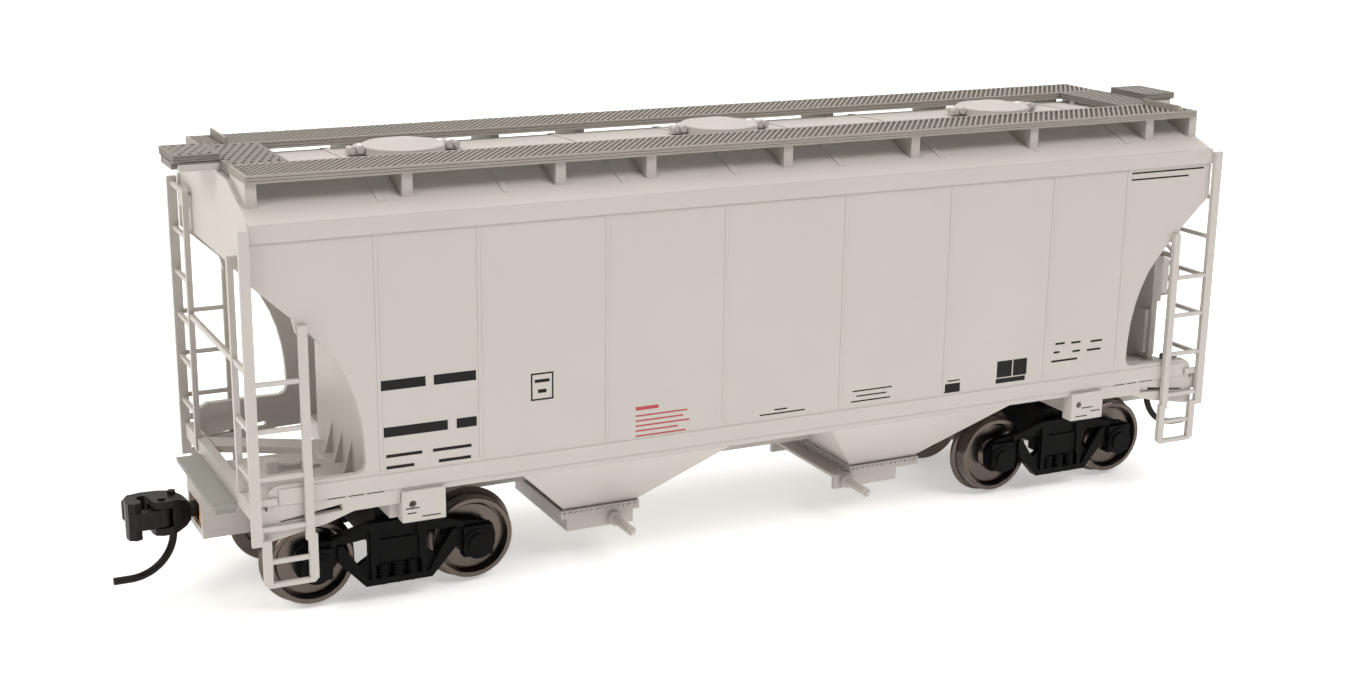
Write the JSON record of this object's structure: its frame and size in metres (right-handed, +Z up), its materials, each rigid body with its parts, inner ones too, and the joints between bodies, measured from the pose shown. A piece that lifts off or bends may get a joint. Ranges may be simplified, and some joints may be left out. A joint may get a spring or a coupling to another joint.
{
  "type": "model covered hopper car",
  "caption": "Scale model railway covered hopper car with roof walks, round hatches, corner ladders, outlet bays, swivelling trucks, rolling wheelsets and knuckle couplers.",
  "frame": {"origin": "on the floor under the middle of the car, at the underside of the wheel flanges", "axes": "+X along the car towards the brake wheel end, +Y across the car towards the far side, +Z up"},
  "size_m": [0.1624, 0.0372, 0.055],
  "materials": {
    "body_grey": "matt warm grey paint on moulded plastic",
    "walk_grey": "matt taupe grey",
    "platform_grey": "matt grey",
    "truck_black": "satin near-black",
    "wheel_metal": "turned and blackened, satin",
    "axle_steel": "drawn steel, satin",
    "coupler_black": "blackened cast metal, satin",
    "spring_bronze": "phosphor bronze strip",
    "screw_steel": "blackened screw",
    "ballast_steel": "sheared steel plate"
  },
  "bodies": {
    "car_body": {"air_reservoir": "body_grey", "ballast_plate": "ballast_steel", "body_bolster_left": "body_grey", "body_bolster_right": "body_grey", "body_shell": "body_grey", "brake_cylinder": "body_grey", "brake_end_panel": "body_grey", "brake_housing": "body_grey", "brake_wheel": "body_grey", "centring_spring_left": "spring_bronze", "centring_spring_right": "spring_bronze", "corner_ladder_left_far": "body_grey", "corner_ladder_left_near": "body_grey", "corner_ladder_right_far": "body_grey", "corner_ladder_right_near": "body_grey", "coupler_box_left": "body_grey", "coupler_box_lids": "body_grey", "coupler_box_right": "body_grey", "coupler_box_screws": "screw_steel", "crossover_platform_left": "platform_grey", "crossover_platform_right": "platform_grey", "end_post_rail_left": "body_grey", "end_post_rail_right": "body_grey", "gate_shafts": "body_grey", "hatch_cover_centre": "body_grey", "hatch_cover_left": "body_grey", "hatch_cover_right": "body_grey", "hopper_bay_left": "body_grey", "hopper_bay_right": "body_grey", "outlet_frame_left": "body_grey", "outlet_frame_right": "body_grey", "outlet_gates": "body_grey", "retaining_valve": "body_grey", "roof": "body_grey", "roof_end_walk_left": "walk_grey", "roof_end_walk_right": "walk_grey", "roof_walk_far": "walk_grey", "roof_walk_near": "walk_grey", "truck_screws": "screw_steel", "underframe": "body_grey"},
    "truck_left": {"truck_bolster_left": "truck_black", "truck_side_frame_left_near": "truck_black", "truck_side_frame_left_far": "truck_black"},
    "coupler_left": {"coupler_head_left": "coupler_black", "trip_pin_left": "coupler_black"},
    "knuckle_left": {"coupler_knuckle_left": "coupler_black"},
    "truck_right": {"truck_bolster_right": "truck_black", "truck_side_frame_right_near": "truck_black", "truck_side_frame_right_far": "truck_black"},
    "coupler_right": {"coupler_head_right": "coupler_black", "trip_pin_right": "coupler_black"},
    "knuckle_right": {"coupler_knuckle_right": "coupler_black"},
    "wheelset_1": {"axle_1": "axle_steel", "wheels_1": "wheel_metal"},
    "wheelset_2": {"axle_2": "axle_steel", "wheels_2": "wheel_metal"},
    "wheelset_3": {"axle_3": "axle_steel", "wheels_3": "wheel_metal"},
    "wheelset_4": {"axle_4": "axle_steel", "wheels_4": "wheel_metal"}
  },
  "joints": [
    {"name": "truck_left_swivel", "type": "hinge", "parent": "car_body", "child": "truck_left", "pos_m": [-0.0495, 0, 0.0122], "axis": [0, 0, 1], "range_deg": [-8, 8]},
    {"name": "truck_right_swivel", "type": "hinge", "parent": "car_body", "child": "truck_right", "pos_m": [0.0495, 0, 0.0122], "axis": [0, 0, 1], "range_deg": [-8, 8]},
    {"name": "wheelset_1_roll", "type": "hinge", "parent": "truck_left", "child": "wheelset_1", "pos_m": [-0.0597, 0, 0.0059], "axis": [0, 1, 0], "continuous": true},
    {"name": "wheelset_2_roll", "type": "hinge", "parent": "truck_left", "child": "wheelset_2", "pos_m": [-0.0393, 0, 0.0059], "axis": [0, 1, 0], "continuous": true},
    {"name": "wheelset_3_roll", "type": "hinge", "parent": "truck_right", "child": "wheelset_3", "pos_m": [0.0393, 0, 0.0059], "axis": [0, 1, 0], "continuous": true},
    {"name": "wheelset_4_roll", "type": "hinge", "parent": "truck_right", "child": "wheelset_4", "pos_m": [0.0597, 0, 0.0059], "axis": [0, 1, 0], "continuous": true},
    {"name": "coupler_left_swing", "type": "hinge", "parent": "car_body", "child": "coupler_left", "pos_m": [-0.0652, 0, 0.0112], "axis": [0, 0, 1], "range_deg": [-12, 12], "stiffness_Nm_per_rad": 0.004, "deforming": ["centring_spring_left"]},
    {"name": "knuckle_left_open", "type": "hinge", "parent": "coupler_left", "child": "knuckle_left", "pos_m": [-0.0753, -0.00085, 0.0112], "axis": [0, 0, 1], "range_deg": [0, 20], "stiffness_Nm_per_rad": 0.001},
    {"name": "coupler_right_swing", "type": "hinge", "parent": "car_body", "child": "coupler_right", "pos_m": [0.0652, 0, 0.0112], "axis": [0, 0, 1], "range_deg": [-12, 12], "stiffness_Nm_per_rad": 0.004, "deforming": ["centring_spring_right"]},
    {"name": "knuckle_right_open", "type": "hinge", "parent": "coupler_right", "child": "knuckle_right", "pos_m": [0.0753, 0.00085, 0.0112], "axis": [0, 0, 1], "range_deg": [0, 20], "stiffness_Nm_per_rad": 0.001}
  ]
}
